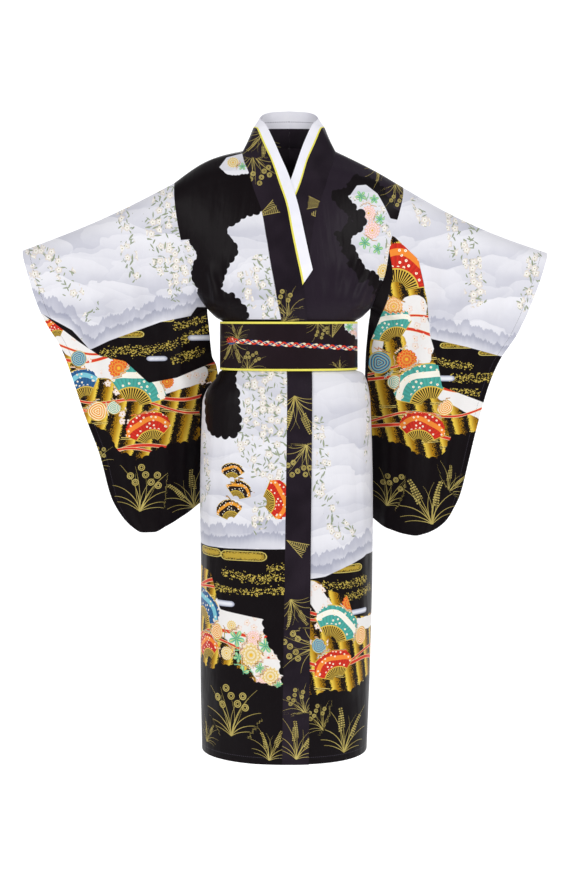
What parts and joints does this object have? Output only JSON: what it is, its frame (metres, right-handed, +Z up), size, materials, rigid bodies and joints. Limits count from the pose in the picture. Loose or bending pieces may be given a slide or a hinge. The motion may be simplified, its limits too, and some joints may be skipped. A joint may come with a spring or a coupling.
{
  "type": "yukata",
  "caption": "Long-sleeved black satin yukata in its worn, hollow form, with a printed pattern, crossed collar with a white edge and a wide flat belt.",
  "frame": {"origin": "the base of the wearer's neck, level with the inner ends of the shoulders, where the wearer holds the robe up", "axes": "+Z up, -Y out of the robe's front, +X toward the wearer's left side"},
  "size_m": [1.114, 0.2724, 1.364],
  "materials": {
    "satin_print": "printed satin",
    "satin_black": "black satin with a gold print",
    "belt_satin": "stiffened black satin with a printed cord and flowers",
    "white_satin": "white satin",
    "yellow_edge": "yellow cotton edge"
  },
  "bodies": {
    "root": {"body_right": "satin_print", "body_left": "satin_print", "sleeve_right": "satin_print", "sleeve_left": "satin_print", "collar_right": "satin_black", "collar_left": "satin_black", "collar_piping_right": "yellow_edge", "collar_piping_left": "yellow_edge", "under_collar_right": "white_satin", "under_collar_left": "white_satin", "obi": "belt_satin", "obi_piping_top": "yellow_edge", "obi_piping_bottom": "yellow_edge"}
  },
  "joints": []
}
